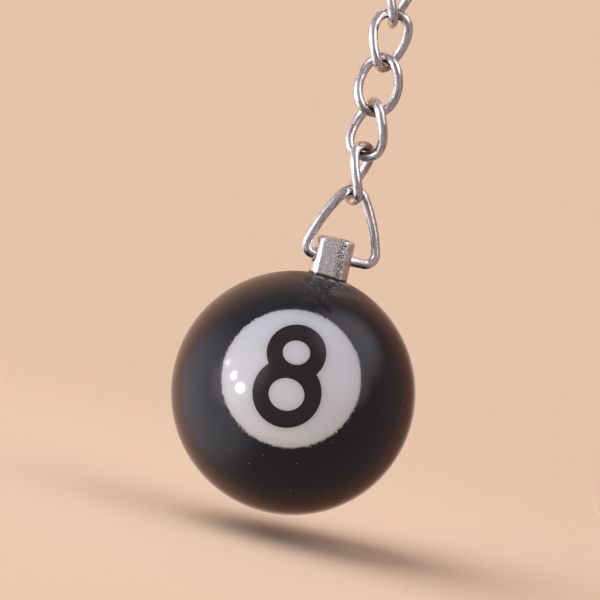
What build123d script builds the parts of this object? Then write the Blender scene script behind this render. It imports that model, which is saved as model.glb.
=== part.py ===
from build123d import *
from math import asin, cos, pi, radians, sin, sqrt
import os

# Miniature eight ball on a chain, hanging from a split key ring.
# Millimetres. +Z is up, the origin is the centre of the key ring, and the numeral faces -Y.
# "Turn" is an angle about Z: 0 puts a link's plane along X, and a positive turn moves its
# right side back, towards +Y.

# ---- driving dimensions ----
ball_diameter = 25.0
spot_diameter = 13.8
spot_latitude = 12.5
spot_depth = 0.8
numeral_depth = 0.4

numeral_height = 10.45
numeral_rise = 0.1
upper_loop_diameter = 5.9
lower_loop_diameter = 6.84
upper_eye_width = 2.72
upper_eye_height = 2.48
lower_eye_width = 3.55
lower_eye_height = 3.16
lower_eye_drop = 0.2

post_diameter = 4.0
post_height = 4.0
post_top_rounding = 0.5
post_flat_depth = 0.42
post_seat_depth = 0.8
post_eye_diameter = 1.36
post_eye_chamfer = 0.12
post_mouth_depth = 0.3
post_slide = 0.75  # from the middle of the triangle's bar, towards its left corner
post_off_centre = 0.8  # of the post and its bore from the ball's own axis, to the right
shank_root_diameter = 2.6
shank_rib_diameter = 3.0
shank_length = 6.0
shank_rib_pitch = 1.0
shank_rib_foot = 0.7  # width of a rib at its root and at its crest
shank_rib_land = 0.2
shank_end_chamfer = 0.3
bore_diameter = 3.4
bore_end_space = 0.6
seat_clearance = 0.05
overlap = 0.1  # how far solids that are joined or cut run into each other

link_wire = 1.0
link_length = 6.7
link_width = 5.0
link_fullness = 0.026
link_twist = 32.0
link_seam = 0.03
link_play = 0.09
# turn of each link's middle, from the link at the ball to the link on the key ring
link_turns = [85.0, 142.0, 176.0, 38.0, 65.0]
link_points = 33

triangle_wire = 1.05
triangle_width = 8.5
triangle_rise = 7.2
triangle_corner_radius = 1.0
triangle_apex_radius = 1.5
triangle_side_radius = 17.0
triangle_turn = 21.0
triangle_seam = 0.04
triangle_seam_place = -0.75
bar_above_ball = 1.9
bar_play = 0.06

ring_diameter = 25.0
ring_band = 1.4
ring_coil = 0.95
ring_coil_gap = 0.04
ring_edge_rounding = 0.4
ring_turn = -22.0
ring_play = 0.46
ring_step_angle = 38.0
ring_step_half = 13.0
ring_step_points = 9

# ---- places that follow from them, before the ball and its post slide along the bar ----
ball_radius = ball_diameter / 2
ring_inner_radius = ring_diameter / 2 - ring_band
link_half = (link_length - link_wire) / 2
link_pitch = link_length - 2 * link_wire - link_play

top_link_z = -ring_inner_radius + ring_play + link_wire / 2 - link_half
link_count = len(link_turns)
link_heights = [top_link_z - link_pitch * (link_count - 1 - i) for i in range(link_count)]

apex_z = link_heights[0] - link_half + (link_wire + triangle_wire) / 2 + link_play
bar_z = apex_z - triangle_rise
ball_z = bar_z - bar_above_ball - ball_radius
eye_z = bar_z - (post_eye_diameter - triangle_wire) / 2 + bar_play
post_top_z = ball_z + ball_radius + post_height
seat_z = ball_z + ball_radius - post_seat_depth
shank_end_z = seat_z - shank_length
bore_end_z = shank_end_z - bore_end_space

up = Vector(0, 0, 1)
ball_centre = Vector(-post_off_centre, 0, ball_z)


def heading(turn):
    """Level unit vector at a turn from +X."""
    return Vector(cos(radians(turn)), sin(radians(turn)), 0)


def disc(place, along, diameter):
    """Round section of a wire, square to its run."""
    return Plane(origin=place, z_dir=along) * Circle(diameter / 2)


# ---- ball, spots and numerals ----
def spot_plane(facing):
    """Plane through the ball's centre, square to a spot's axis. facing is -1 for the front, 1 for the rear."""
    latitude = radians(-facing * spot_latitude)
    axis = Vector(0, facing * cos(latitude), sin(latitude))
    return Plane(origin=ball_centre, x_dir=Vector(-facing, 0, 0), z_dir=axis)


def shell(depth):
    """Outermost layer of the ball, as thick as depth."""
    return Pos(ball_centre) * (Sphere(ball_radius) - Sphere(ball_radius - depth))


def make_spot_blank(facing):
    rod = extrude(spot_plane(facing) * Circle(spot_diameter / 2), ball_diameter)
    return shell(spot_depth) & rod


def make_numeral(facing):
    """Figure 8: two overlapping discs with an oval eye in each, set flush with the ball."""
    upper_centre = numeral_rise + (numeral_height - upper_loop_diameter) / 2
    lower_centre = numeral_rise + (lower_loop_diameter - numeral_height) / 2
    lower_eye_centre = lower_centre - lower_eye_drop
    figure = Pos(0, upper_centre) * Circle(upper_loop_diameter / 2)
    figure += Pos(0, lower_centre) * Circle(lower_loop_diameter / 2)
    figure -= Pos(0, upper_centre) * Ellipse(upper_eye_width / 2, upper_eye_height / 2)
    figure -= Pos(0, lower_eye_centre) * Ellipse(lower_eye_width / 2, lower_eye_height / 2)
    return shell(numeral_depth) & extrude(spot_plane(facing) * figure, ball_diameter)


def cylinder_down(top_z, end_z, diameter):
    """Upright cylinder on the Z axis between two heights."""
    return extrude(Pos(0, 0, end_z) * Circle(diameter / 2), top_z - end_z)


def make_ball(spot_blanks):
    ball = Pos(ball_centre) * Sphere(ball_radius)
    for blank in spot_blanks:
        ball -= blank
    seat = cylinder_down(post_top_z, seat_z, post_diameter + 2 * seat_clearance)
    bore = cylinder_down(seat_z + overlap, bore_end_z, bore_diameter)
    return ball - seat - bore


# ---- hanger post and the glue that holds it ----
def make_post():
    """Die-cast stud: a round head with two flats and a cross eye, over a ribbed shank."""
    head = cylinder_down(post_top_z, seat_z, post_diameter)
    head = fillet(head.edges().sort_by(Axis.Z)[-1], post_top_rounding)
    flat_offset = post_diameter - post_flat_depth
    for side in (-1, 1):
        head -= Pos(0, side * flat_offset, (seat_z + post_top_z) / 2) * Box(
            2 * post_diameter, post_diameter, 2 * post_height + 2 * post_seat_depth
        )
    across = heading(triangle_turn)
    eye_plane = Plane(origin=(0, 0, eye_z), z_dir=across)
    head -= extrude(eye_plane * Circle(post_eye_diameter / 2), post_diameter, both=True)
    flare = post_diameter / 2 + post_eye_chamfer
    for side in (-1, 1):
        mouth = Plane(origin=across * side * flare + Vector(0, 0, eye_z), z_dir=across * -side)
        head -= mouth * Cone(
            post_eye_diameter / 2 + 2 * post_eye_chamfer,
            post_eye_diameter / 2 - post_mouth_depth,
            2 * post_eye_chamfer + post_mouth_depth,
            align=(Align.CENTER, Align.CENTER, Align.MIN),
        )
    return head + make_shank()


def make_shank():
    """Shank turned from a stepped profile, with a raised rib at every pitch."""
    root = shank_root_diameter / 2
    crest = shank_rib_diameter / 2
    ribs = int(shank_length / shank_rib_pitch) - 1
    foot = shank_rib_foot / 2
    land = shank_rib_land / 2
    profile = [(0, seat_z + overlap), (root, seat_z + overlap)]
    for i in range(ribs):
        rib_z = seat_z - shank_rib_pitch * (i + 1)
        profile += [
            (root, rib_z + foot),
            (crest, rib_z + land),
            (crest, rib_z - land),
            (root, rib_z - foot),
        ]
    chamfer_top = (root, shank_end_z + shank_end_chamfer)
    chamfer_end = (root - shank_end_chamfer, shank_end_z)
    profile += [chamfer_top, chamfer_end, (0, shank_end_z)]
    outline = Plane.XZ * make_face(Polyline(*profile, close=True))
    return revolve(outline, Axis.Z)


def make_glue(post):
    """Cured glue that fills the bore round and under the shank."""
    return cylinder_down(seat_z, bore_end_z, bore_diameter) - post


# ---- triangle ring ----
def point_at(centre, radius, angle):
    return (centre[0] + radius * cos(angle), centre[1] + radius * sin(angle))


def arc(centre, radius, start, end):
    """Arc about a centre between two angles in radians."""
    points = [point_at(centre, radius, a) for a in (start, (start + end) / 2, end)]
    return ThreePointArc(*points)


def make_triangle():
    """Wire triangle with a straight base bar, tight lower corners, bowed sides and a round apex."""
    corner = triangle_corner_radius
    apex = triangle_apex_radius
    corner_centre = ((triangle_width - triangle_wire) / 2 - corner, corner)
    apex_centre = (0, triangle_rise - apex)

    # the side arc is tangent inside to the corner arc and to the apex arc
    to_corner = triangle_side_radius - corner
    to_apex = triangle_side_radius - apex
    base_x = corner_centre[0] - apex_centre[0]
    base_y = corner_centre[1] - apex_centre[1]
    base = sqrt(base_x**2 + base_y**2)
    along = (to_apex**2 - to_corner**2 + base**2) / (2 * base)
    across = sqrt(to_apex**2 - along**2)
    side_centre = (
        apex_centre[0] + (along * base_x + across * base_y) / base,
        apex_centre[1] + (along * base_y - across * base_x) / base,
    )
    side_to_corner = asin((corner_centre[1] - side_centre[1]) / to_corner)
    side_to_apex = asin((apex_centre[1] - side_centre[1]) / to_apex)

    right = [
        arc(corner_centre, corner, -pi / 2, side_to_corner),
        arc(side_centre, triangle_side_radius, side_to_corner, side_to_apex),
    ]
    left = [mirror(edge, Plane.YZ) for edge in right]
    crown = arc(apex_centre, apex, side_to_apex, pi - side_to_apex)
    bar = Line((-corner_centre[0], 0), (corner_centre[0], 0))
    runs = [bar, *right, crown, *left]
    loop = Wire([run.edge() for run in runs])

    path = Plane(
        origin=(0, 0, bar_z), x_dir=heading(triangle_turn), z_dir=heading(triangle_turn - 90)
    ) * loop
    ring = sweep(disc(path @ 0, path % 0, triangle_wire), path=path)
    seam_centre = heading(triangle_turn) * triangle_seam_place + Vector(0, 0, bar_z)
    seam = Plane(origin=seam_centre, z_dir=heading(triangle_turn)) * Box(
        2 * triangle_wire, 2 * triangle_wire, triangle_seam
    )
    return ring - seam


# ---- chain links ----
def link_point(height, turn, angle):
    """Point on a link's centre line: a full oval, wound about Z as it runs down."""
    full = 1 - link_fullness
    out = (link_width - link_wire) / 2 * (sin(angle) + link_fullness * sin(3 * angle)) / full
    rise = link_half * (cos(angle) - link_fullness * cos(3 * angle)) / full
    return heading(turn - link_twist * rise / link_half) * out + up * (height + rise)


def make_link(height, turn):
    """Open oval wire link, twisted, with its butt seam half-way down one side."""
    gap = link_seam / link_half
    first = pi / 2 + gap / 2
    pitch = (2 * pi - gap) / (link_points - 1)
    angles = [first + pitch * i for i in range(link_points)]
    path = Spline([link_point(height, turn, a) for a in angles])
    return sweep(disc(path @ 0, path % 0, link_wire), path=path)


# ---- key ring ----
def make_key_ring():
    """Split ring: two flat turns side by side, joined by a short step, with an end at each side of it."""
    radius = (ring_diameter - ring_band) / 2
    across = heading(ring_turn)
    normal = heading(ring_turn + 90)
    offset = (ring_coil + ring_coil_gap) / 2

    def place(angle, shift):
        turn = radians(angle)
        return across * radius * cos(turn) + up * radius * sin(turn) + normal * shift

    def turn_of_wire(start, shift):
        span = 360 - 2 * ring_step_half
        return ThreePointArc(
            place(start, shift), place(start + span / 2, shift), place(start + span, shift)
        )

    def direction(angle):
        turn = radians(angle)
        return across * -sin(turn) + up * cos(turn)

    step_start = ring_step_angle - ring_step_half
    step_end = ring_step_angle + ring_step_half
    step_points = []
    for i in range(ring_step_points):
        share = i / (ring_step_points - 1)
        angle = step_start + (step_end - step_start) * share
        step_points.append(place(angle, -offset * cos(pi * share)))
    step = Spline(step_points, tangents=[direction(step_start), direction(step_end)])
    runs = [turn_of_wire(step_end, -offset), step, turn_of_wire(step_end, offset)]
    path = Wire([run.edge() for run in runs])
    start = Plane(
        origin=place(step_end, -offset), x_dir=normal, z_dir=direction(step_end)
    )
    section = start * RectangleRounded(ring_coil, ring_band, ring_edge_rounding)
    return sweep(section, path=path)


# ---- build and save ----
spot_blanks = [make_spot_blank(facing) for facing in (-1, 1)]
numerals = [make_numeral(facing) for facing in (-1, 1)]
hanger_post = make_post()

# the post is made on the Z axis with the ball beside it, then both slide along the triangle's bar
slide = Pos(heading(triangle_turn) * -post_slide)
nodes = {
    "ball_body": slide * make_ball(spot_blanks),
    "front_spot": slide * (spot_blanks[0] - numerals[0]),
    "front_numeral": slide * numerals[0],
    "rear_spot": slide * (spot_blanks[1] - numerals[1]),
    "rear_numeral": slide * numerals[1],
    "hanger_post": slide * hanger_post,
    "glue_sleeve": slide * make_glue(hanger_post),
    "triangle_ring": make_triangle(),
    "key_ring": make_key_ring(),
}
for i, (height, turn) in enumerate(zip(link_heights, link_turns)):
    nodes[f"chain_link_{i + 1}"] = make_link(height, turn)

os.makedirs("parts", exist_ok=True)
for name, node in nodes.items():
    export_step(node, f"parts/{name}.step")
print("ball centre", round(ball_z, 3), "bar", round(bar_z, 3), "apex", round(apex_z, 3))
print("links", [round(height, 3) for height in link_heights])
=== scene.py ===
import math
import bpy
import numpy as np
from mathutils import Matrix, Vector, noise
from mathutils.geometry import delaunay_2d_cdt


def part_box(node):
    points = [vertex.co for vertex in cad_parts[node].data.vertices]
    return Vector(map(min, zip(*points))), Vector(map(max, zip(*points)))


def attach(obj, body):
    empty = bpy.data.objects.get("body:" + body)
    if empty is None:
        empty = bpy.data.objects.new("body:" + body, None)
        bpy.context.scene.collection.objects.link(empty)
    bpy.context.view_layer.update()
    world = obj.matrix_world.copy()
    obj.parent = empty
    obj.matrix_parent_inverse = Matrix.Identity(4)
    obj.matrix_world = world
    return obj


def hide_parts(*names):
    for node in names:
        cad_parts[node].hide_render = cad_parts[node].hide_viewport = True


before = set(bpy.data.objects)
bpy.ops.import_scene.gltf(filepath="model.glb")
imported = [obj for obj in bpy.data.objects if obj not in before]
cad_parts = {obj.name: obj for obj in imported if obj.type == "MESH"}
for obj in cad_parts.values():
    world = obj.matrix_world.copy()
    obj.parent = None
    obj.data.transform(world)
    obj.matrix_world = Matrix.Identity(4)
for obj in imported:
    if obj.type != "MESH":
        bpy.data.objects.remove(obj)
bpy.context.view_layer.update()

MM = 0.001
UP = Vector((0, 0, 1))

# ---- sizes shared with the CAD parts ----
BALL_RADIUS = 12.5 * MM
SPOT_RADIUS = 6.9 * MM
SPOT_LATITUDE = math.radians(12.5)
SPOT_DEPTH = 0.8 * MM
NUMERAL_DEPTH = 0.4 * MM
NUMERAL_HEIGHT = 10.45 * MM
NUMERAL_RISE = 0.1 * MM
UPPER_LOOP_RADIUS = 2.95 * MM
LOWER_LOOP_RADIUS = 3.42 * MM
UPPER_EYE = (1.36 * MM, 1.24 * MM)
LOWER_EYE = (1.775 * MM, 1.58 * MM)
LOWER_EYE_DROP = 0.2 * MM

POST_RADIUS = 2.0 * MM
POST_ROUNDING = 0.5 * MM
POST_FLAT = POST_RADIUS - 0.42 * MM
POST_SEAT_DEPTH = 0.8 * MM
SEAT_CLEARANCE = 0.05 * MM
EYE_RADIUS = 0.68 * MM
EYE_CHAMFER = 0.12 * MM
EYE_DROP = 0.095 * MM
BAR_ABOVE_BALL = 1.9 * MM
SHANK_ROOT = 1.3 * MM
SHANK_CREST = 1.5 * MM
SHANK_LENGTH = 6.0 * MM
SHANK_TIP = 0.3 * MM
RIB_PITCH = 1.0 * MM
BORE_RADIUS = 1.7 * MM
BORE_END_SPACE = 0.6 * MM

LINK_WIRE = 1.0 * MM
LINK_WIDTH = 5.0 * MM
LINK_FULLNESS = 0.026
LINK_TWIST = 32.0
LINK_SEAM = 0.03 * MM
LINK_TURNS = {1: 85.0, 2: 142.0, 3: 176.0, 4: 38.0, 5: 65.0}

TRIANGLE_WIRE = 1.05 * MM
TRIANGLE_WIDTH = 8.5 * MM
TRIANGLE_CORNER = 1.0 * MM
TRIANGLE_APEX = 1.5 * MM
TRIANGLE_SIDE = 17.0 * MM
TRIANGLE_TURN = 21.0
TRIANGLE_SEAM = 0.04 * MM
TRIANGLE_SEAM_PLACE = -0.75 * MM

RING_RADIUS = 12.5 * MM
RING_BAND = 1.4 * MM
RING_COIL = 0.95 * MM
RING_COIL_GAP = 0.04 * MM
RING_EDGE = 0.4 * MM
RING_TURN = -22.0
RING_STEP = math.radians(38.0)
RING_STEP_HALF = math.radians(13.0)

# ---- finer shape that the CAD leaves out, with noise scales in blobs per metre ----
WIRE_BEVEL = 0.03 * MM
WIRE_WAVINESS = 0.006 * MM
RING_END_BEVEL = 0.15 * MM
RING_WAVINESS = 0.004 * MM
WAVES = 900.0
POST_DOME = 0.06 * MM
FLAT_SOFTNESS = 0.16 * MM
RIPPLES = 1400.0
RIPPLE_HEIGHT = 0.006 * MM
PITS = 3800.0
FINE_PITS = 8000.0
PIT_DEPTH = 0.03 * MM

# ---- painted shade stored on the spots' points, for their material ----
EDGE_SHADE = "edge_shade"
INK_SHADE_REACH = 0.32 * MM
RIM_SHADE_REACH = 0.3 * MM
RIM_SHADE = 0.8

# ---- places, from the frame ----
ball_low, ball_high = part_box("ball_body")
post_low, post_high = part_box("hanger_post")
ball_middle = (ball_low + ball_high) / 2
post_middle = (post_low + post_high) / 2
BALL = Vector((ball_middle.x, ball_middle.y, ball_low.z + BALL_RADIUS))
POST_FOOT = Vector((post_middle.x, post_middle.y, 0))
BAR_Z = BALL.z + BALL_RADIUS + BAR_ABOVE_BALL
POST_TOP_Z = post_high.z
SEAT_Z = BALL.z + BALL_RADIUS - POST_SEAT_DEPTH
SPOT_AXIS = Vector((0, -math.cos(SPOT_LATITUDE), math.sin(SPOT_LATITUDE)))
SPOT_UP = Vector((0, math.sin(SPOT_LATITUDE), math.cos(SPOT_LATITUDE)))
SPOT_RIGHT = Vector((1, 0, 0))


def heading(turn):
    """Level unit vector at a turn, in degrees, from +X."""
    return Vector((math.cos(math.radians(turn)), math.sin(math.radians(turn)), 0))


def round_turns(count):
    """Equal steps of angle, once round a circle."""
    return [2 * math.pi * i / count for i in range(count)]


# ---- mesh helpers ----
SURFACE_SLACK = 0.004 * MM


def make_piece(name, points, faces):
    """Smooth-shaded object from points and faces, in the scene."""
    mesh = bpy.data.meshes.new(name)
    mesh.from_pydata([tuple(p) for p in points], [], faces)
    mesh.validate()
    mesh.update()
    mesh.polygons.foreach_set("use_smooth", [True] * len(mesh.polygons))
    piece = bpy.data.objects.new(name, mesh)
    bpy.context.scene.collection.objects.link(piece)
    return piece


def loft(rings, start=None, end=None):
    """Points and faces of a closed skin over rings of equal count, with a point at each end."""
    count = len(rings[0])
    points = [p for ring in rings for p in ring]
    faces = []
    for row in range(len(rings) - 1):
        for i in range(count):
            j = (i + 1) % count
            a, b = row * count, (row + 1) * count
            faces.append((a + i, a + j, b + j, b + i))
    for tip, row, order in ((start, 0, -1), (end, len(rings) - 1, 1)):
        if tip is not None:
            points.append(tip)
            for i in range(count):
                edge = (row * count + i, row * count + (i + 1) % count)
                faces.append((*edge[::order], len(points) - 1))
    return points, faces


def cut(piece, cutter):
    """Takes the cutter's volume out of the piece and deletes the cutter."""
    boolean = piece.modifiers.new("cut", "BOOLEAN")
    boolean.operation = "DIFFERENCE"
    boolean.solver = "EXACT"
    boolean.object = cutter
    graph = bpy.context.evaluated_depsgraph_get()
    result = bpy.data.meshes.new_from_object(piece.evaluated_get(graph))
    piece.modifiers.clear()
    old = piece.data
    piece.data = result
    bpy.data.meshes.remove(old)
    bpy.data.objects.remove(cutter)


def crease(piece, angle):
    """Smooth shading that breaks at edges sharper than an angle in degrees."""
    mesh = piece.data
    mesh.polygons.foreach_set("use_smooth", [True] * len(mesh.polygons))
    mesh.set_sharp_from_angle(angle=math.radians(angle))


def ball_normals(piece):
    """Shades the faces on the ball's own surface as one true sphere, and leaves the others flat."""
    mesh = piece.data
    normals = [None] * len(mesh.loops)
    for face in mesh.polygons:
        outward = all(
            abs((mesh.vertices[v].co - BALL).length - BALL_RADIUS) < SURFACE_SLACK for v in face.vertices
        ) and face.normal.dot((face.center - BALL).normalized()) > 0.98
        for loop in face.loop_indices:
            place = mesh.vertices[mesh.loops[loop].vertex_index].co
            normals[loop] = (place - BALL).normalized() if outward else face.normal.copy()
    mesh.normals_split_custom_set(normals)


# ---- ball ----
RIM_POINTS = 288


def spot_point(across, above, radius, facing=1):
    """Point on a sphere about the ball's centre, by its offsets from a spot's axis. facing 1 is the front."""
    out = math.sqrt(max(radius**2 - across**2 - above**2, 0))
    return BALL + SPOT_AXIS * out * facing + SPOT_RIGHT * across * facing + SPOT_UP * above


def rim_ring(spread, radius, side):
    """Ring of points about the spots' axis, at a radius from the axis, on the front or rear half."""
    ring = []
    out = math.sqrt(radius**2 - spread**2) * side
    for angle in round_turns(RIM_POINTS):
        across, above = spread * math.cos(angle), spread * math.sin(angle)
        ring.append(BALL + SPOT_AXIS * out + SPOT_RIGHT * across + SPOT_UP * above)
    return ring


def make_ball():
    """Resin ball with a recess for each spot, and a seat and a bore for the post."""
    floor_radius = BALL_RADIUS - SPOT_DEPTH
    rim_angle = math.asin(SPOT_RADIUS / BALL_RADIUS)
    floor_angle = math.asin(SPOT_RADIUS / floor_radius)
    floor_rows, band_rows = 12, 150
    front, rear = [], []
    for row in range(1, floor_rows + 1):
        spread = floor_radius * math.sin(floor_angle * row / floor_rows)
        front.append(rim_ring(spread, floor_radius, 1))
        rear.insert(0, rim_ring(spread, floor_radius, -1))
    band = []
    for row in range(band_rows + 1):
        angle = rim_angle + (math.pi - 2 * rim_angle) * row / band_rows
        side = 1 if angle <= math.pi / 2 else -1
        band.append(rim_ring(BALL_RADIUS * math.sin(angle), BALL_RADIUS, side))
    points, faces = loft(
        front + band + rear, BALL + SPOT_AXIS * floor_radius, BALL - SPOT_AXIS * floor_radius
    )
    ball = make_piece("ball_skin", points, [face[::-1] for face in faces])
    seat_radius = POST_RADIUS + SEAT_CLEARANCE
    bore_end = SEAT_Z - SHANK_LENGTH - BORE_END_SPACE
    profile = [
        (seat_radius, BALL.z + BALL_RADIUS + POST_RADIUS),
        (seat_radius, SEAT_Z),
        (BORE_RADIUS, SEAT_Z),
        (BORE_RADIUS, bore_end),
    ]
    cut(ball, make_lathe("seat_cutter", profile, count=96, centre=POST_FOOT))
    ball_normals(ball)
    return ball


def make_lathe(name, profile, count, centre):
    """Solid turned about an upright axis from (radius, height) points, top first."""
    rings = []
    for radius, height in profile:
        turns = round_turns(count)
        rings.append([centre + Vector((radius * math.cos(a), radius * math.sin(a), height)) for a in turns])
    top, bottom = profile[0][1], profile[-1][1]
    points, faces = loft(rings, centre + UP * top, centre + UP * bottom)
    return make_piece(name, points, [face[::-1] for face in faces])


# ---- spots and numerals ----
def loop_centres():
    """Heights of the middles of the figure's upper and lower loops."""
    upper = NUMERAL_RISE + NUMERAL_HEIGHT / 2 - UPPER_LOOP_RADIUS
    lower = NUMERAL_RISE + LOWER_LOOP_RADIUS - NUMERAL_HEIGHT / 2
    return upper, lower


def numeral_eyes():
    """Height, half width and half height of the two eyes."""
    upper, lower = loop_centres()
    return (upper, *UPPER_EYE), (lower - LOWER_EYE_DROP, *LOWER_EYE)


def numeral_outlines():
    """The figure 8's outer outline, two arcs that meet at the waist, and its two eyes."""
    upper, lower = loop_centres()
    gap = upper - lower
    waist_up = (gap**2 + LOWER_LOOP_RADIUS**2 - UPPER_LOOP_RADIUS**2) / (2 * gap)
    waist_out = math.sqrt(LOWER_LOOP_RADIUS**2 - waist_up**2)
    upper_start = math.atan2(waist_up - gap, waist_out)
    lower_start = math.atan2(waist_up, waist_out)
    outer = []
    steps = 110
    for centre, radius, start, end in (
        (upper, UPPER_LOOP_RADIUS, upper_start, math.pi - upper_start),
        (lower, LOWER_LOOP_RADIUS, math.pi - lower_start, 2 * math.pi + lower_start),
    ):
        for i in range(steps):
            angle = start + (end - start) * i / steps
            outer.append((radius * math.cos(angle), centre + radius * math.sin(angle)))
    eyes = []
    for centre, width, height in numeral_eyes():
        eyes.append([(width * math.cos(a), centre + height * math.sin(a)) for a in round_turns(80)])
    return outer, eyes


def in_numeral(across, above):
    """Whether a point of the spot lies on the figure 8 itself."""
    upper, lower = loop_centres()
    in_loops = (
        across**2 + (above - upper) ** 2 < UPPER_LOOP_RADIUS**2
        or across**2 + (above - lower) ** 2 < LOWER_LOOP_RADIUS**2
    )
    in_eyes = any(
        (across / width) ** 2 + ((above - centre) / height) ** 2 < 1
        for centre, width, height in numeral_eyes()
    )
    return in_loops and not in_eyes


def spot_layout():
    """Flat mesh of a spot: points, and the triangles of the white part and of the numeral."""
    outer, eyes = numeral_outlines()
    rim = [(SPOT_RADIUS * math.cos(a), SPOT_RADIUS * math.sin(a)) for a in round_turns(RIM_POINTS)]
    points, edges = [], []
    for outline in (rim, outer, *eyes):
        first, count = len(points), len(outline)
        points += outline
        edges += [(first + i, first + (i + 1) % count) for i in range(count)]
    fixed = np.array(points)
    pitch = 0.2 * MM
    rows = int(SPOT_RADIUS / pitch) + 1
    for row in range(-rows, rows + 1):
        for column in range(-rows, rows + 1):
            spot = np.array(((column + (row % 2) / 2) * pitch, row * pitch * math.sqrt(3) / 2))
            clear = np.sqrt(((fixed - spot) ** 2).sum(1).min())
            if np.hypot(*spot) < SPOT_RADIUS and clear > pitch * 0.6:
                points.append(tuple(spot))
    flat, _, triangles, *_ = delaunay_2d_cdt([Vector(p) for p in points], edges, [], 0, 1e-9)
    white, numeral = [], []
    for triangle in triangles:
        middle = sum((flat[v] for v in triangle), Vector((0, 0))) / 3
        (numeral if in_numeral(*middle) else white).append(tuple(triangle))
    return [(p.x, p.y) for p in flat], white, numeral


def boundary(triangles):
    """Directed edges that belong to only one triangle."""
    edges = {(t[i], t[(i + 1) % 3]) for t in triangles for i in range(3)}
    return [edge for edge in edges if edge[::-1] not in edges]


def make_inlay(name, layout, top, floors, facing):
    """Solid under triangles of the layout. Its top is on the ball's surface, and each of its floors is
    (triangles, depth, whether they face outwards)."""
    flat = layout[0]
    points, index = [], {}

    def point(vertex, depth):
        if (vertex, depth) not in index:
            index[vertex, depth] = len(points)
            points.append(spot_point(*flat[vertex], BALL_RADIUS - depth, facing))
        return index[vertex, depth]

    faces = [tuple(point(v, 0) for v in triangle) for triangle in top]
    for triangles, depth, outward in floors:
        for triangle in triangles:
            order = triangle if outward else triangle[::-1]
            faces.append(tuple(point(v, depth) for v in order))
    depths = sorted(floor[1] for floor in floors)
    for start, end in sorted(boundary(top)):
        on_rim = math.hypot(*flat[start]) > SPOT_RADIUS * 0.999
        deep = depths[-1] if on_rim else depths[0]
        faces.append((point(start, deep), point(end, deep), point(end, 0), point(start, 0)))
    piece = make_piece(name, points, faces)
    ball_normals(piece)
    return piece


def shade_near_edges(piece, facing):
    """Stores on each point how near the numeral's outline and the spot's rim it lies, for the painted shade
    there in the material.
    """
    outer, eyes = numeral_outlines()
    outline = np.array(outer + eyes[0] + eyes[1])
    values = []
    for vertex in piece.data.vertices:
        offset = vertex.co - BALL
        place = np.array((offset.dot(SPOT_RIGHT) * facing, offset.dot(SPOT_UP)))
        to_ink = np.sqrt(((outline - place) ** 2).sum(1).min())
        to_rim = SPOT_RADIUS - np.hypot(*place)
        values.append(
            math.exp(-to_ink / INK_SHADE_REACH) + RIM_SHADE * math.exp(-to_rim / RIM_SHADE_REACH)
        )
    layer = piece.data.attributes.new(EDGE_SHADE, "FLOAT", "POINT")
    layer.data.foreach_set("value", values)


# ---- wire pieces ----
def lengths(path):
    """Distance along the path at each of its points."""
    run = [0.0]
    for a, b in zip(path[:-1], path[1:]):
        run.append(run[-1] + (b - a).length)
    return run


def sample(path, run, distance):
    """Point and direction at a distance along a dense path."""
    i = int(np.searchsorted(run, distance)) - 1
    i = max(0, min(i, len(path) - 2))
    share = (distance - run[i]) / (run[i + 1] - run[i])
    return path[i].lerp(path[i + 1], share), (path[i + 1] - path[i]).normalized()


def wire_stations(total, stations, size, bevel):
    """(distance, scale) of each ring of a wire: even along it, and closing in at its rounded ends."""
    end = []
    for i in range(5):
        angle = math.pi / 2 * (4 - i) / 4
        end.append((bevel * (1 - math.sin(angle)), 1 - bevel * (1 - math.cos(angle)) / size))
    body = [(bevel + (total - 2 * bevel) * i / stations, 1.0) for i in range(1, stations)]
    return end + body + [(total - distance, scale) for distance, scale in reversed(end)]


def unwrap_wire(piece, count, along):
    """UVs that run round the wire, and along it in mm. Each of its rings has count points."""
    layer = piece.data.uv_layers.new(name="wire")
    for face in piece.data.polygons:
        wraps = {piece.data.loops[i].vertex_index % count for i in face.loop_indices} >= {0, count - 1}
        for loop in face.loop_indices:
            vertex = piece.data.loops[loop].vertex_index
            row, column = divmod(vertex, count)
            if row >= len(along):
                row, column = (0, 0) if vertex == len(along) * count else (len(along) - 1, 0)
            around = 1.0 if wraps and column == 0 else column / count
            layer.data[loop].uv = (around, along[row] / MM)


def make_wire(name, path, section, stations, side, bevel, waviness):
    """Solid wire with a section of (a, b) offsets swept along an open path, and rounded ends.
    side is where the section's a axis points at the start."""
    run = lengths(path)
    size = max(math.hypot(a, b) for a, b in section)
    places = wire_stations(run[-1], stations, size, bevel)
    rings = []
    for distance, scale in places:
        centre, tangent = sample(path, run, distance)
        side = (side - tangent * side.dot(tangent)).normalized()
        other = tangent.cross(side)
        ring = []
        for a, b in section:
            out = side * a + other * b
            wave = noise.noise((centre + out) * WAVES) * waviness
            ring.append(centre + out * scale * (1 + wave / size))
        rings.append(ring)
    points, faces = loft(rings, path[0], path[-1])
    piece = make_piece(name, points, faces)
    unwrap_wire(piece, len(section), [distance for distance, scale in places])
    crease(piece, 50)
    return piece


def round_section(diameter, count=36):
    """Section of a round wire."""
    return [(diameter / 2 * math.cos(a), diameter / 2 * math.sin(a)) for a in round_turns(count)]


def link_middle(number):
    """Height of a link's middle."""
    low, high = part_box(f"chain_link_{number}")
    return (low.z + high.z) / 2


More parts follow.
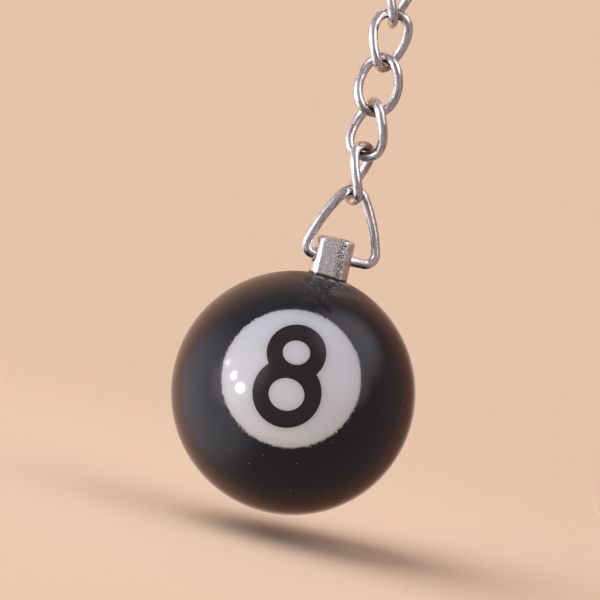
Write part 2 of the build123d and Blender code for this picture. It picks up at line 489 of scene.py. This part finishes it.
def make_link(number):
    """Twisted oval link, open at a butt seam half-way down one side."""
    low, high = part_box(f"chain_link_{number}")
    centre = link_middle(number)
    half = (high.z - low.z - LINK_WIRE) / 2
    full = 1 - LINK_FULLNESS
    reach = (LINK_WIDTH - LINK_WIRE) / 2
    gap = LINK_SEAM / half
    steps = 420
    path = []
    for i in range(steps + 1):
        angle = math.pi / 2 + gap / 2 + (2 * math.pi - gap) * i / steps
        out = reach * (math.sin(angle) + LINK_FULLNESS * math.sin(3 * angle)) / full
        rise = half * (math.cos(angle) - LINK_FULLNESS * math.cos(3 * angle)) / full
        turn = LINK_TURNS[number] - LINK_TWIST * rise / half
        path.append(heading(turn) * out + UP * (centre + rise))
    side = heading(LINK_TURNS[number])
    section = round_section(LINK_WIRE)
    return make_wire(f"link_wire_{number}", path, section, 220, side, WIRE_BEVEL, WIRE_WAVINESS)


def arc_points(centre, radius, start, end, steps):
    """Points along an arc, with both of its ends."""
    angles = [start + (end - start) * i / steps for i in range(steps + 1)]
    return [(centre[0] + radius * math.cos(a), centre[1] + radius * math.sin(a)) for a in angles]


def make_triangle():
    """Wire triangle: straight base bar, tight lower corners, bowed sides and a round apex."""
    low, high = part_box("triangle_ring")
    rise = high.z - low.z - TRIANGLE_WIRE
    corner = ((TRIANGLE_WIDTH - TRIANGLE_WIRE) / 2 - TRIANGLE_CORNER, TRIANGLE_CORNER)
    apex = (0, rise - TRIANGLE_APEX)
    to_corner = TRIANGLE_SIDE - TRIANGLE_CORNER
    to_apex = TRIANGLE_SIDE - TRIANGLE_APEX
    base = math.dist(corner, apex)
    along = (to_apex**2 - to_corner**2 + base**2) / (2 * base)
    across = math.sqrt(to_apex**2 - along**2)
    run_x, run_y = (corner[0] - apex[0]) / base, (corner[1] - apex[1]) / base
    side = (apex[0] + along * run_x + across * run_y, apex[1] + along * run_y - across * run_x)
    at_corner = math.asin((corner[1] - side[1]) / to_corner)
    at_apex = math.asin((apex[1] - side[1]) / to_apex)

    right = arc_points(corner, TRIANGLE_CORNER, -math.pi / 2, at_corner, 40)
    right += arc_points(side, TRIANGLE_SIDE, at_corner, at_apex, 60)[1:]
    crown = arc_points(apex, TRIANGLE_APEX, at_apex, math.pi - at_apex, 60)[1:-1]
    left = [(-x, y) for x, y in reversed(right)]
    seam = TRIANGLE_SEAM_PLACE
    flat = [(seam + TRIANGLE_SEAM / 2, 0), *right, *crown, *left, (seam - TRIANGLE_SEAM / 2, 0)]
    path = [heading(TRIANGLE_TURN) * x + UP * (low.z + TRIANGLE_WIRE / 2 + y) for x, y in flat]
    dense = []
    for a, b in zip(path[:-1], path[1:]):
        pieces = max(1, int((b - a).length / (0.1 * MM)))
        dense += [a.lerp(b, i / pieces) for i in range(pieces)]
    dense.append(path[-1])
    section = round_section(TRIANGLE_WIRE)
    return make_wire("triangle_wire", dense, section, 260, -UP, WIRE_BEVEL, WIRE_WAVINESS)


def make_key_ring():
    """Split ring of two flat turns, joined by a short step, with a bevelled end at each side of it."""
    radius = RING_RADIUS - RING_BAND / 2
    across, normal = heading(RING_TURN), heading(RING_TURN + 90)
    offset = (RING_COIL + RING_COIL_GAP) / 2
    path = []
    start = RING_STEP + RING_STEP_HALF
    sweep = 4 * math.pi - 2 * RING_STEP_HALF
    steps = 1400
    for i in range(steps + 1):
        angle = start + sweep * i / steps
        share = (angle - (RING_STEP + 2 * math.pi - RING_STEP_HALF)) / (2 * RING_STEP_HALF)
        shift = -offset * math.cos(math.pi * min(max(share, 0), 1))
        path.append(across * radius * math.cos(angle) + UP * radius * math.sin(angle) + normal * shift)
    section = []
    for corner in range(4):
        turn = math.pi / 2 * corner
        a = (RING_COIL / 2 - RING_EDGE) * (1 if corner in (0, 3) else -1)
        b = (RING_BAND / 2 - RING_EDGE) * (1 if corner in (0, 1) else -1)
        for i in range(9):
            angle = turn + math.pi / 2 * i / 8
            section.append((a + RING_EDGE * math.cos(angle), b + RING_EDGE * math.sin(angle)))
    return make_wire("key_ring_band", path, section, 720, normal, RING_END_BEVEL, RING_WAVINESS)


# ---- hanger post ----
def soft_limit(value, limit, softness):
    """The value held within plus or minus a limit, with a rounded shoulder."""
    size = abs(value)
    shoulder = max(softness - abs(size - limit), 0) / softness
    held = min(size, limit) - shoulder**2 * softness / 4
    return math.copysign(held, value)


def post_profile():
    """(radius, height) points down the post: domed top, head, seat shoulder, ribbed shank."""
    crown = POST_RADIUS - POST_ROUNDING
    profile = []
    for i in range(1, 15):
        radius = crown * i / 14
        profile.append((radius, POST_TOP_Z - POST_DOME * (radius / crown) ** 2))
    for i in range(1, 13):
        angle = math.pi / 2 * i / 12
        out = crown + POST_ROUNDING * math.sin(angle)
        drop = POST_DOME + (POST_ROUNDING - POST_DOME) * (1 - math.cos(angle))
        profile.append((out, POST_TOP_Z - drop))
    wall = profile[-1][1] - SEAT_Z
    profile += [(POST_RADIUS, SEAT_Z + wall * (1 - i / 70)) for i in range(1, 71)]
    profile.append((SHANK_ROOT, SEAT_Z))
    for rib in range(1, int(SHANK_LENGTH / RIB_PITCH)):
        middle = SEAT_Z - RIB_PITCH * rib
        profile += [
            (SHANK_ROOT, middle + 0.35 * RIB_PITCH),
            (SHANK_CREST, middle + 0.1 * RIB_PITCH),
            (SHANK_CREST, middle - 0.1 * RIB_PITCH),
            (SHANK_ROOT, middle - 0.35 * RIB_PITCH),
        ]
    end = SEAT_Z - SHANK_LENGTH
    return profile + [(SHANK_ROOT, end + SHANK_TIP), (SHANK_ROOT - SHANK_TIP, end)]


def pit_depth(place):
    """How far the casting's skin dips at a place: shallow ripples all over, pits mostly on the right."""
    ripple = RIPPLE_HEIGHT * noise.noise(place * RIPPLES)
    pits = noise.noise(place * PITS + Vector((7, 3, 1))) + 0.5 * noise.noise(place * FINE_PITS)
    rightness = min(max((place.x + 0.1 * MM) / (1.2 * MM), 0), 1)
    return ripple + PIT_DEPTH * rightness * min(max(pits - 0.22, 0) / 0.3, 1)


def make_eye_cutter():
    """Tube along the triangle's bar, which flares beyond both sides of the post."""
    along = heading(TRIANGLE_TURN)
    side = heading(TRIANGLE_TURN + 90)
    middle = POST_FOOT + UP * (BAR_Z - EYE_DROP)
    reach = POST_RADIUS + EYE_CHAMFER
    flare = 2 * (EYE_RADIUS + EYE_CHAMFER)
    tube = []
    for out, radius in (
        (-reach - EYE_RADIUS, flare),
        (-reach + 2.2 * EYE_CHAMFER, EYE_RADIUS),
        (reach - 2.2 * EYE_CHAMFER, EYE_RADIUS),
        (reach + EYE_RADIUS, flare),
    ):
        centre = middle + along * out
        turns = round_turns(72)
        tube.append([centre + side * radius * math.cos(a) + UP * radius * math.sin(a) for a in turns])
    ends = [middle + along * out for out in (-reach - EYE_RADIUS, reach + EYE_RADIUS)]
    points, faces = loft(tube, *ends)
    return make_piece("eye_cutter", points, faces)


def make_post():
    """Cast stud with two soft-edged flats, pitted skin and a flared cross eye."""
    rings = []
    for radius, height in post_profile():
        ring = []
        for angle in round_turns(200):
            x, y = radius * math.cos(angle), radius * math.sin(angle)
            if height > SEAT_Z:
                y = soft_limit(y, POST_FLAT, FLAT_SOFTNESS)
            place = Vector((x, y, height))
            if height > SEAT_Z:
                place -= Vector((x, y, 0)).normalized() * pit_depth(place)
            ring.append(POST_FOOT + place)
        rings.append(ring)
    points, faces = loft(rings, POST_FOOT + UP * POST_TOP_Z, POST_FOOT + UP * rings[-1][0].z)
    post = make_piece("post_casting", points, [face[::-1] for face in faces])

    cut(post, make_eye_cutter())
    crease(post, 35)
    return post


# ---- materials ----
# Pairs of colours are the two ends between which a noise varies.
BLACK_RESIN = (0.0088, 0.0078, 0.0108, 1), (0.0132, 0.0118, 0.0155, 1)
WHITE_RESIN = (0.50, 0.525, 0.565, 1), (0.55, 0.575, 0.61, 1)
NUMERAL_BLACK = (0.0130, 0.0112, 0.0125, 1), (0.0200, 0.0172, 0.0190, 1)
WIRE_NICKEL = (0.88, 0.86, 0.855, 1), (0.52, 0.46, 0.44, 1)
CAST_NICKEL = (0.84, 0.81, 0.79, 1), (0.56, 0.50, 0.47, 1)
EPOXY = (0.62, 0.55, 0.40, 1), (0.80, 0.76, 0.66, 1)
WHITE_FLECK = (0.56, 0.55, 0.56, 1)
BLACK_NICK = (0.05, 0.045, 0.05, 1)
# Colour of the painted shade near the numeral and the spot's rim.
SHOW_THROUGH_SHADE = (0.27, 0.26, 0.265, 1)
DUST = (0.42, 0.41, 0.42, 1)
GLUE_RESIDUE = (0.52, 0.46, 0.44, 1)
DRAWN_LINE = (0.22, 0.18, 0.165, 1)
# Colour of the painted shade where links press on each other.
CONTACT_SHADE = (0.13, 0.10, 0.085, 1)
CASTING_PIT = (0.10, 0.075, 0.08, 1)
# Colour of the painted shade at the post's foot.
FOOT_SHADE = (0.035, 0.028, 0.028, 1)

RESIN_IOR = 1.42
NUMERAL_ROUGHNESS = 0.12
GLUE_ROUGHNESS = 0.15
GRIME_ROUGHNESS = 0.28
WIRE_STREAKS = 13.0
BAND_STREAKS = 22.0


def new_material(name):
    """Material with its node tree and its main shader."""
    material = bpy.data.materials.new(name)
    material.use_nodes = True
    tree = material.node_tree
    return material, tree, tree.nodes["Principled BSDF"]


def add(tree, kind, inputs=None, **settings):
    """New node, with constants or sockets given for its inputs by name or number."""
    node = tree.nodes.new(kind)
    for key, value in settings.items():
        setattr(node, key, value)
    for key, value in (inputs or {}).items():
        if isinstance(value, bpy.types.NodeSocket):
            tree.links.new(value, node.inputs[key])
        else:
            node.inputs[key].default_value = value
    return node


def math_node(tree, operation, *values, clamp=False):
    """Result of a sum on one, two or three numbers."""
    return add(
        tree, "ShaderNodeMath", dict(enumerate(values)), operation=operation, use_clamp=clamp
    ).outputs[0]


def vector_node(tree, operation, *values):
    """Result of a sum on vectors, which is a number for the three operations named here."""
    node = add(tree, "ShaderNodeVectorMath", dict(enumerate(values)), operation=operation)
    return node.outputs["Value" if operation in ("DISTANCE", "DOT_PRODUCT", "LENGTH") else "Vector"]


def noise_node(tree, vector, scale, detail=2.0, roughness=0.5):
    """Noise from 0 to 1. Its scale is in blobs per metre where the vector is a place."""
    inputs = {"Vector": vector, "Scale": scale, "Detail": detail, "Roughness": roughness}
    return add(tree, "ShaderNodeTexNoise", inputs).outputs[0]


def ramp(tree, value, low, high, to_low=0.0, to_high=1.0):
    """The value mapped smoothly from one range to another."""
    inputs = {"Value": value, "From Min": low, "From Max": high, "To Min": to_low, "To Max": to_high}
    return add(tree, "ShaderNodeMapRange", inputs, interpolation_type="SMOOTHSTEP").outputs[0]


def blend(tree, share, first, second):
    """The first colour at a share of 0, the second at 1."""
    inputs = {0: share, 6: first, 7: second}
    return add(tree, "ShaderNodeMix", inputs, data_type="RGBA").outputs[2]


def bump(tree, height, strength, distance):
    """Normal tilted by a height map."""
    inputs = {"Height": height, "Strength": strength, "Distance": distance}
    return add(tree, "ShaderNodeBump", inputs).outputs[0]


def object_place(tree):
    """Place on the piece, in metres, which stays with the piece in every pose."""
    return add(tree, "ShaderNodeTexCoord").outputs["Object"]


def rim_distance(tree, place):
    """Distance on the ball outwards from the nearer spot's rim, in mm."""
    offset = vector_node(tree, "SUBTRACT", place, tuple(BALL))
    unit = vector_node(tree, "NORMALIZE", offset)
    along = vector_node(tree, "DOT_PRODUCT", unit, tuple(SPOT_AXIS))
    angle = math_node(tree, "ARCCOSINE", math_node(tree, "ABSOLUTE", along))
    rim = math.asin(SPOT_RADIUS / BALL_RADIUS)
    return math_node(tree, "MULTIPLY", math_node(tree, "SUBTRACT", angle, rim), BALL_RADIUS / MM)


def rim_ticks(tree, place, away, scale, least, reach):
    """1 on small ticks that grow out from a rim, where noise is over its least. away is in mm."""
    burr = math_node(tree, "SUBTRACT", noise_node(tree, place, scale, 2.0, 0.6), least)
    tick = math_node(tree, "SUBTRACT", math_node(tree, "MULTIPLY", burr, reach), away)
    return ramp(tree, tick, 0.0, 0.05)


def post_nearness(tree, place, near, far):
    """1 near the post's axis, fading to 0 far from it, above the ball's middle. near and far are in mm."""
    parts = add(tree, "ShaderNodeSeparateXYZ", {0: vector_node(tree, "SUBTRACT", place, tuple(POST_FOOT))})
    x, y, z = parts.outputs
    across = vector_node(tree, "LENGTH", add(tree, "ShaderNodeCombineXYZ", {0: x, 1: y}).outputs[0])
    above = math_node(tree, "GREATER_THAN", z, BALL.z)
    return math_node(tree, "MULTIPLY", ramp(tree, across, far * MM, near * MM), above)


def contact_nearness(tree, place):
    """1 where two links of the hanging chain press on each other, fading to 0 a wire's width away. It masks
    the painted shade there.
    """
    x, y, z = add(tree, "ShaderNodeSeparateXYZ", {0: place}).outputs
    first, second = link_middle(1), link_middle(2)
    level = math_node(tree, "SUBTRACT", z, (first + second) / 2)
    level = math_node(tree, "PINGPONG", level, (second - first) / 2)
    away = vector_node(
        tree, "LENGTH", add(tree, "ShaderNodeCombineXYZ", {0: x, 1: y, 2: level}).outputs[0]
    )
    return ramp(tree, away, 1.35 * LINK_WIRE, 0.6 * LINK_WIRE)


def resin_skin(tree, place, shader):
    """Gloss of cured resin, with faint waves left by polishing."""
    shader.inputs["IOR"].default_value = RESIN_IOR
    waves = noise_node(tree, place, scale=260.0, detail=2.0)
    tree.links.new(bump(tree, waves, strength=0.1, distance=0.4 * MM), shader.inputs["Normal"])


def black_resin():
    """Polished near-black resin: dust, scuffs, flecks at the spots' rims, glue residue round the post."""
    material, tree, shader = new_material("black_resin")
    place = object_place(tree)
    cloud = noise_node(tree, place, scale=160.0, detail=3.0)
    colour = blend(tree, cloud, *BLACK_RESIN)
    outward = rim_distance(tree, place)
    flecks = rim_ticks(tree, place, outward, scale=8200.0, least=0.505, reach=1.6)
    colour = blend(tree, flecks, colour, WHITE_FLECK)
    near_post = post_nearness(tree, place, near=2.6, far=8.5)
    extra_dust = math_node(tree, "MULTIPLY", near_post, 0.1)
    dust = math_node(tree, "ADD", noise_node(tree, place, scale=4600.0, detail=1.0), extra_dust)
    colour = blend(tree, ramp(tree, dust, 0.785, 0.815), colour, DUST)
    patches = ramp(tree, noise_node(tree, place, scale=1300.0, detail=3.0), 0.40, 0.58, 0.0, 0.75)
    residue = math_node(tree, "MULTIPLY", post_nearness(tree, place, near=2.3, far=3.2), patches)
    colour = blend(tree, residue, colour, GLUE_RESIDUE)
    tree.links.new(colour, shader.inputs["Base Color"])
    smear = ramp(tree, noise_node(tree, place, 300.0, 4.0, 0.65), 0.3, 0.8, 0.07, 0.15)
    grime = math_node(tree, "MULTIPLY", near_post, GRIME_ROUGHNESS)
    tree.links.new(math_node(tree, "ADD", smear, grime), shader.inputs["Roughness"])
    resin_skin(tree, place, shader)
    return material


def white_resin():
    """Off-white inlay, with painted shade near the numeral and the rim. The shade stands in for the black
    below and beside it showing through the translucent white, and partly for the numeral's soft print edge.
    """
    material, tree, shader = new_material("white_resin")
    place = object_place(tree)
    cloud = noise_node(tree, place, scale=240.0, detail=3.0)
    colour = blend(tree, cloud, *WHITE_RESIN)
    near_edge = add(tree, "ShaderNodeAttribute", attribute_name=EDGE_SHADE).outputs["Fac"]
    shade = math_node(tree, "MULTIPLY", near_edge, 0.5, clamp=True)
    # Painted shade near the numeral and the rim, where the black would show through the translucent white.
    colour = blend(tree, shade, colour, SHOW_THROUGH_SHADE)
    inward = math_node(tree, "MULTIPLY", rim_distance(tree, place), -1.0)
    nicks = rim_ticks(tree, place, inward, scale=7800.0, least=0.53, reach=1.25)
    colour = blend(tree, nicks, colour, BLACK_NICK)
    tree.links.new(colour, shader.inputs["Base Color"])
    smear = ramp(tree, noise_node(tree, place, 320.0, 4.0, 0.65), 0.3, 0.8, 0.08, 0.15)
    tree.links.new(smear, shader.inputs["Roughness"])
    resin_skin(tree, place, shader)
    return material


def numeral_black():
    """Warm black inlay of the numeral."""
    material, tree, shader = new_material("numeral_black")
    place = object_place(tree)
    cloud = noise_node(tree, place, scale=500.0, detail=3.0)
    tree.links.new(blend(tree, cloud, *NUMERAL_BLACK), shader.inputs["Base Color"])
    shader.inputs["Roughness"].default_value = NUMERAL_ROUGHNESS
    resin_skin(tree, place, shader)
    return material


def nickel(name, streaks):
    """Bright nickel plate on drawn wire: streaks along it, small stains, and painted shade where links touch.
    """
    material, tree, shader = new_material(name)
    place = object_place(tree)
    along = add(tree, "ShaderNodeTexCoord").outputs["UV"]
    stretch = {"Vector": along, "Scale": (streaks, 0.5, 1.0)}
    lines = noise_node(tree, add(tree, "ShaderNodeMapping", stretch).outputs[0], 1.0, 4.0, 0.65)
    stain = noise_node(tree, place, 1500.0, 5.0, 0.65)
    colour = blend(tree, ramp(tree, stain, 0.52, 0.74), *WIRE_NICKEL)
    colour = blend(tree, ramp(tree, lines, 0.50, 0.62, 0.0, 0.68), colour, DRAWN_LINE)
    # Painted shade where links touch, made patchy by the stain noise.
    contact_shade_strength = ramp(tree, stain, 0.3, 0.6, 0.35, 0.85)
    contact_shade = math_node(tree, "MULTIPLY", contact_nearness(tree, place), contact_shade_strength)
    colour = blend(tree, contact_shade, colour, CONTACT_SHADE)
    tree.links.new(colour, shader.inputs["Base Color"])
    shader.inputs["Metallic"].default_value = 1.0
    tree.links.new(ramp(tree, stain, 0.35, 0.75, 0.12, 0.27), shader.inputs["Roughness"])
    dents = noise_node(tree, place, scale=1900.0, detail=3.0)
    height = math_node(tree, "ADD", math_node(tree, "MULTIPLY", lines, 0.6), dents)
    tree.links.new(bump(tree, height, strength=0.4, distance=0.06 * MM), shader.inputs["Normal"])
    return material


def nickel_cast():
    """Satin nickel on a die casting: blotches, fine grain, a band of dark pits, and painted shade at the foot
    where it meets the ball.
    """
    material, tree, shader = new_material("nickel_cast")
    place = object_place(tree)
    blotch = noise_node(tree, place, 900.0, 5.0, 0.65)
    colour = blend(tree, ramp(tree, blotch, 0.42, 0.68), *CAST_NICKEL)
    x = add(tree, "ShaderNodeSeparateXYZ", {0: place}).outputs[0]
    starts = ramp(tree, x, POST_FOOT.x + 0.15 * MM, POST_FOOT.x + 0.65 * MM, 0.0, 0.17)
    ends = ramp(tree, x, POST_FOOT.x + 1.05 * MM, POST_FOOT.x + 1.45 * MM, 0.0, 0.15)
    band = math_node(tree, "SUBTRACT", starts, ends)
    pits = math_node(tree, "ADD", noise_node(tree, place, 7000.0, 2.0, 0.6), band)
    pitted = ramp(tree, pits, 0.63, 0.71)
    colour = blend(tree, pitted, colour, CASTING_PIT)
    from_ball = vector_node(tree, "DISTANCE", place, tuple(BALL))
    # Painted shade in the gap where the post meets the ball.
    foot_shade = ramp(tree, from_ball, BALL_RADIUS + 0.34 * MM, BALL_RADIUS + 0.16 * MM, 0.0, 0.9)
    colour = blend(tree, foot_shade, colour, FOOT_SHADE)
    tree.links.new(colour, shader.inputs["Base Color"])
    shader.inputs["Metallic"].default_value = 1.0
    tree.links.new(ramp(tree, blotch, 0.35, 0.7, 0.22, 0.40), shader.inputs["Roughness"])
    grain = noise_node(tree, place, 5200.0, 4.0, 0.7)
    height = math_node(tree, "SUBTRACT", grain, math_node(tree, "MULTIPLY", pitted, 0.8))
    tree.links.new(bump(tree, height, strength=0.5, distance=0.08 * MM), shader.inputs["Normal"])
    return material


def clear_glue():
    """Cured epoxy, slightly yellow, with small bubbles."""
    material, tree, shader = new_material("clear_glue")
    bubbles = ramp(tree, noise_node(tree, object_place(tree), scale=2500.0, detail=1.0), 0.6, 0.7)
    tree.links.new(blend(tree, bubbles, *EPOXY), shader.inputs["Base Color"])
    shader.inputs["Roughness"].default_value = GLUE_ROUGHNESS
    return material


# ---- camera, light and stage ----
CAMERA_TURN = math.radians(2.9)
CAMERA_LIFT = math.radians(5.0)
CAMERA_ROLL = math.radians(12.8)
CAMERA_DISTANCE = 350 * MM
SENSOR_WIDTH = 36.0
FRAME_WIDTH = 61.35 * MM
BALL_LEFT = 0.685 * MM
BALL_DOWN = 9.50 * MM

FLOOR_DROP = 2.0 * MM
FLOOR_RINGS = (0.04, 0.08, 0.12, 0.16)
FLOOR_FADE = (0.03, 0.15)
FLOOR_COLOUR = (0.52, 0.382, 0.284, 1)
FLOOR_ROUGHNESS = 0.9

# A direction here is two angles in degrees: off the camera's axis, and from straight up.
# A reach is the angle within which a glow is full and the angle beyond which it is gone.
PALE = (0.79, 0.55, 0.405, 1)
LIT_SIDE = ((100, -55), (35, 115))
BEHIND = ((180, 0), (40, 85))
FRONT_WALLS = (0.31, 0.26, 0.27, 1), (0.42, 0.40, 0.435, 1)
BACK_WALLS = (0.42, 0.20, 0.12, 1), (0.95, 0.56, 0.38, 1)
PANELS = {
    "backdrop": ((180, 0), (8, 30), (0.74, 0.54, 0.44, 1)),
    "left_panel": ((82, -92), (18, 58), (1.35, 1.32, 1.42, 1)),
    "left_strip": ((62, -78), (7, 26), (2.6, 2.55, 2.7, 1)),
    "high_strip": ((48, -62), (2, 24), (1.75, 1.7, 1.8, 1)),
    "right_panel": ((75, 48), (10, 38), (1.7, 1.62, 1.74, 1)),
    "right_strip": ((55, 76), (2, 29), (1.6, 1.52, 1.54, 1)),
}

LAMP_DISTANCE = 1.2
FLOOR_LIGHT_FROM = Vector((-0.6, -0.05, 0.8))


def camera_axes():
    """Unit vectors from the ball to the camera, and to the right and up in the picture."""
    level = math.cos(CAMERA_LIFT)
    back = Vector((math.sin(CAMERA_TURN) * level, -math.cos(CAMERA_TURN) * level, math.sin(CAMERA_LIFT)))
    side = UP.cross(back).normalized()
    above = back.cross(side)
    right = side * math.cos(CAMERA_ROLL) + above * math.sin(CAMERA_ROLL)
    return back, right, back.cross(right)


def studio_direction(off_axis, clock):
    """Direction from the ball at an angle off the camera's axis, and a clock angle from straight up."""
    back, right, above = camera_axes()
    out, turn = math.radians(off_axis), math.radians(clock)
    return back * math.cos(out) + (right * math.sin(turn) + above * math.cos(turn)) * math.sin(out)


def make_camera():
    """Camera a little above the ball and rolled, so that the chain leans right and the ball sits low."""
    data = bpy.data.cameras.new("camera")
    data.sensor_width = SENSOR_WIDTH
    data.lens = data.sensor_width * CAMERA_DISTANCE / FRAME_WIDTH
    camera = bpy.data.objects.new("camera", data)
    bpy.context.scene.collection.objects.link(camera)
    back, right, above = camera_axes()
    place = BALL + back * CAMERA_DISTANCE
    aim = (BALL + right * BALL_LEFT + above * BALL_DOWN - place).normalized()
    side = aim.cross(above).normalized()
    camera.matrix_world = Matrix((side, side.cross(aim), -aim)).transposed().to_4x4()
    camera.location = place
    bpy.context.scene.camera = camera


def floor_material():
    """Plain pale matt paper, which fades out to see-through away from the ball."""
    material, tree, shader = new_material("stage_floor")
    shader.inputs["Base Color"].default_value = FLOOR_COLOUR
    shader.inputs["Roughness"].default_value = FLOOR_ROUGHNESS
    far = vector_node(tree, "LENGTH", object_place(tree))
    clear = add(tree, "ShaderNodeBsdfTransparent").outputs[0]
    shaders = {0: ramp(tree, far, *FLOOR_FADE), 1: shader.outputs[0], 2: clear}
    faded = add(tree, "ShaderNodeMixShader", shaders).outputs[0]
    tree.links.new(faded, tree.nodes["Material Output"].inputs["Surface"])
    return material


def make_stage():
    """Round pale floor just under the ball, which fades into the background."""
    rings = [
        [Vector((radius * math.cos(a), radius * math.sin(a), 0)) for a in round_turns(128)]
        for radius in FLOOR_RINGS
    ]
    points, faces = loft(rings, Vector((0, 0, 0)))
    floor = make_piece("stage_floor", points, [face[::-1] for face in faces])
    floor.location.z = ball_low.z - FLOOR_DROP
    floor.data.materials.append(floor_material())
    floor.visible_glossy = False
    return floor


def glow(tree, ray, direction, reach):
    """1 within the first angle of a direction, fading to 0 at the second."""
    full, none = reach
    cosine = vector_node(tree, "DOT_PRODUCT", ray, tuple(studio_direction(*direction)))
    return ramp(tree, cosine, math.cos(math.radians(none)), math.cos(math.radians(full)))


def make_world():
    """Pale background. Reflections see a dim studio, soft panels and strips, and warm walls behind."""
    world = bpy.data.worlds.new("studio")
    bpy.context.scene.world = world
    world.use_nodes = True
    tree = world.node_tree
    tree.nodes.clear()
    ray = add(tree, "ShaderNodeTexCoord").outputs["Generated"]
    lit_side = glow(tree, ray, *LIT_SIDE)
    front = blend(tree, lit_side, *FRONT_WALLS)
    back = blend(tree, lit_side, *BACK_WALLS)
    studio = blend(tree, glow(tree, ray, *BEHIND), front, back)
    for direction, reach, colour in PANELS.values():
        studio = blend(tree, glow(tree, ray, direction, reach), studio, colour)
    seen = add(tree, "ShaderNodeLightPath").outputs["Is Camera Ray"]
    shown = blend(tree, seen, studio, PALE)
    background = add(tree, "ShaderNodeBackground", {"Color": shown, "Strength": 1.0})
    output = add(tree, "ShaderNodeOutputWorld")
    tree.links.new(background.outputs[0], output.inputs["Surface"])


def add_lamp(name, direction, size, glare, colour=(1.0, 1.0, 1.0), only=None):
    """Round soft lamp far outside the views. As seen from the ball it is size degrees wide."""
    lamp = bpy.data.lights.new(name, "AREA")
    lamp.shape = "DISK"
    lamp.size = 2 * LAMP_DISTANCE * math.tan(math.radians(size) / 2)
    lamp.energy = glare * math.pi * math.pi * (lamp.size / 2) ** 2
    lamp.color = colour
    holder = bpy.data.objects.new(name, lamp)
    holder.location = BALL + direction * LAMP_DISTANCE
    holder.rotation_euler = direction.to_track_quat("Z", "Y").to_euler()
    holder.visible_camera = False
    bpy.context.scene.collection.objects.link(holder)
    if only is not None:
        lit = bpy.data.collections.new(name + "_lights")
        lit.objects.link(only)
        holder.light_linking.receiver_collection = lit


def make_lamps(floor):
    """Three lamps on the left, which make the glints on the spot, and a broad one for the floor alone."""
    add_lamp("key", studio_direction(51, -85), size=8, glare=46, colour=(1.0, 0.99, 0.98))
    add_lamp("key_edge", studio_direction(59.6, -74), size=6, glare=40)
    add_lamp("key_far", studio_direction(71, -65), size=5, glare=9)
    from_left = FLOOR_LIGHT_FROM.normalized()
    add_lamp("floor_light", from_left, size=60, glare=4.0, colour=(1.0, 0.98, 0.96), only=floor)


# ---- assembly ----
def stand_for(piece, node, body, material):
    """Gives a piece its material and puts it in its CAD node's place."""
    piece.data.materials.clear()
    piece.data.materials.append(material)
    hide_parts(node)
    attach(piece, body)


bpy.context.scene.view_settings.view_transform = "Standard"
make_camera()
make_world()
make_lamps(make_stage())

black = black_resin()
white = white_resin()
ink = numeral_black()
wire = nickel("nickel_wire", WIRE_STREAKS)
band = nickel("nickel_band", BAND_STREAKS)

stand_for(make_ball(), "ball_body", "ball", black)
layout = spot_layout()
every = layout[1] + layout[2]
for word, facing in (("front", 1), ("rear", -1)):
    floors = [(layout[2], NUMERAL_DEPTH, True), (every, SPOT_DEPTH, False)]
    spot = make_inlay(f"{word}_spot_inlay", layout, layout[1], floors, facing)
    shade_near_edges(spot, facing)
    stand_for(spot, f"{word}_spot", "ball", white)
    floors = [(layout[2], NUMERAL_DEPTH, False)]
    numeral = make_inlay(f"{word}_numeral_inlay", layout, layout[2], floors, facing)
    stand_for(numeral, f"{word}_numeral", "ball", ink)

stand_for(make_post(), "hanger_post", "ball", nickel_cast())
stand_for(make_triangle(), "triangle_ring", "triangle", wire)
for number in LINK_TURNS:
    stand_for(make_link(number), f"chain_link_{number}", f"link_{number}", wire)
stand_for(make_key_ring(), "key_ring", "key_ring", band)

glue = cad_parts["glue_sleeve"]
glue.data.materials.clear()
glue.data.materials.append(clear_glue())
